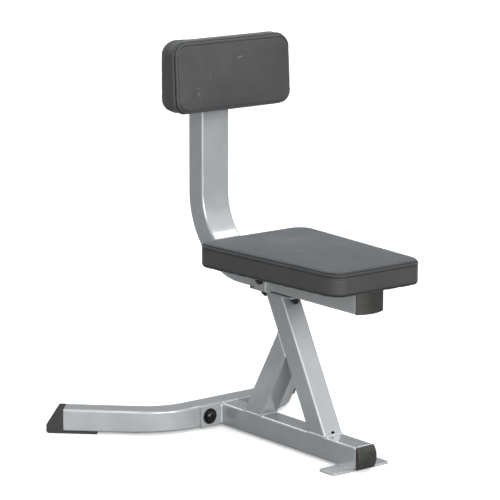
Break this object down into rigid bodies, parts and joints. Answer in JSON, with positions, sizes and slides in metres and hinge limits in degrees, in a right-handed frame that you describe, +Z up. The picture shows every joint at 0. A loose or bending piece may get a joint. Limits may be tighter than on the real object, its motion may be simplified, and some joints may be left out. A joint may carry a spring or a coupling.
{
  "type": "gym utility stool",
  "caption": "Free-standing gym utility stool: tapered flat vinyl seat and upright back pad on a bent steel tube, A-shaped leg frame and a swept-back rear stabiliser.",
  "frame": {"origin": "on the floor, at the middle of the stool's box", "axes": "+Z up; the sitter faces -Y; +X is the sitter's left"},
  "size_m": [0.7346, 0.7458, 0.883],
  "materials": {
    "silver_paint": "satin",
    "black_rubber": "matte",
    "black_plastic": "matte",
    "black_steel": "satin",
    "zinc_steel": "satin",
    "charcoal_vinyl": "satin",
    "foam": "matte",
    "plywood": "matte"
  },
  "bodies": {
    "root": {"base_tube": "silver_paint", "front_leg": "silver_paint", "rear_leg": "silver_paint", "leg_top_plate": "silver_paint", "saddle_bracket": "silver_paint", "front_foot_plate": "silver_paint", "rear_mount_plate": "silver_paint", "rear_stabilizer": "silver_paint", "seat_back_frame": "silver_paint", "stabilizer_foot_left": "black_rubber", "stabilizer_foot_right": "black_rubber", "base_end_cap": "black_plastic", "seat_frame_end_cap": "black_plastic", "upright_top_cap": "black_plastic", "stabilizer_bolt_left": "black_steel", "stabilizer_bolt_right": "black_steel", "stabilizer_washer_front_left": "black_steel", "stabilizer_washer_front_right": "black_steel", "stabilizer_washer_rear_left": "black_steel", "stabilizer_washer_rear_right": "black_steel", "stabilizer_nut_left": "black_steel", "stabilizer_nut_right": "black_steel", "saddle_cross_bolt": "black_steel", "saddle_washer_left": "black_steel", "saddle_washer_right": "black_steel", "saddle_nut": "black_steel", "seat_bolt_front": "black_steel", "seat_bolt_rear": "black_steel", "seat_washer_front": "black_steel", "seat_washer_rear": "black_steel", "seat_nut_front": "black_steel", "seat_nut_rear": "black_steel", "seat_screw": "black_steel", "seat_screw_washer": "black_steel", "back_screw_lower": "black_steel", "back_screw_upper": "black_steel", "back_screw_washer_lower": "black_steel", "back_screw_washer_upper": "black_steel", "seat_tee_nut": "zinc_steel", "back_tee_nut_lower": "zinc_steel", "back_tee_nut_upper": "zinc_steel", "seat_cover": "charcoal_vinyl", "back_cover": "charcoal_vinyl", "seat_foam": "foam", "back_foam": "foam", "seat_board": "plywood", "back_board": "plywood"}
  },
  "joints": []
}
